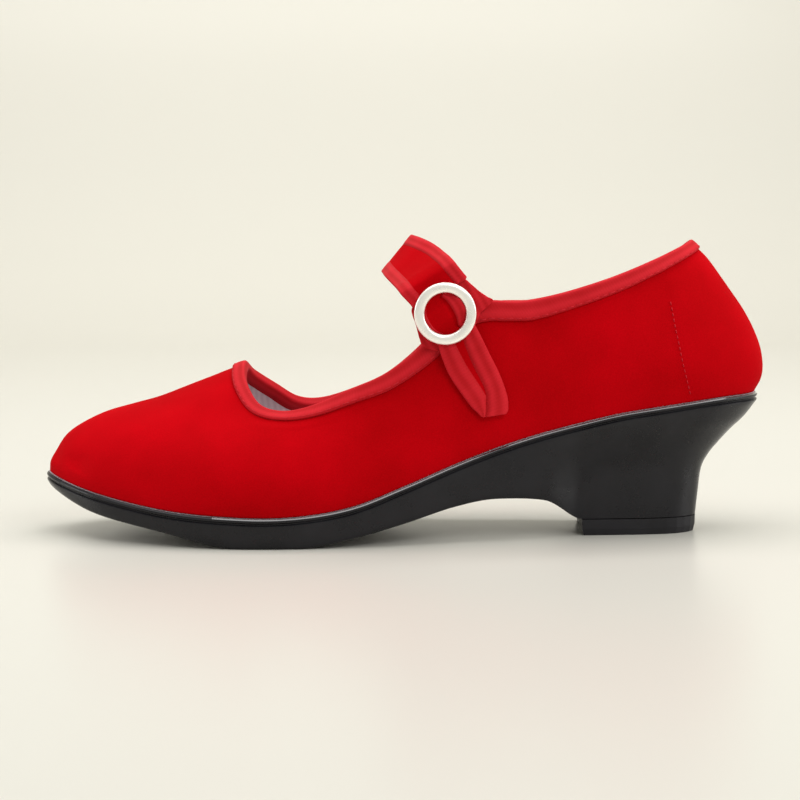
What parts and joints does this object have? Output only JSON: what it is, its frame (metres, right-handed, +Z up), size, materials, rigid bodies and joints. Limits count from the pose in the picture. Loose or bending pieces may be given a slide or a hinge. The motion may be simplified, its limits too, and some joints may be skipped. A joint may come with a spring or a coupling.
{
  "type": "bar shoe with a block heel",
  "caption": "Left bar shoe in red velvet cloth: bound top line, instep strap through a plated ring buckle, black moulded sole with a block heel.",
  "frame": {"origin": "middle of the footprint on the floor, under the shoe", "axes": "+X from toe to heel, -Y to the outer side with the buckle, +Z up"},
  "size_m": [0.2465, 0.0807, 0.1016],
  "materials": {
    "SoleMoulding": "smooth black moulding with a soft gloss",
    "LiftRubber": "hard black lift rubber, slightly duller than the moulding",
    "InsoleCloth": "pale lilac-grey cotton lining cloth",
    "VelvetCloth": "deep red short-pile velvet",
    "BindingTape": "lighter red woven binding tape",
    "StrapCloth": "red velvet edged with woven binding tape",
    "PlatedMetal": "bright plated ring"
  },
  "bodies": {
    "root": {"sole_unit": "SoleMoulding", "heel_top_lift": "LiftRubber", "insole": "InsoleCloth", "upper": "VelvetCloth", "topline_binding": "BindingTape", "buckle_tab": "BindingTape", "ring_buckle": "PlatedMetal", "strap": "StrapCloth"}
  },
  "joints": []
}
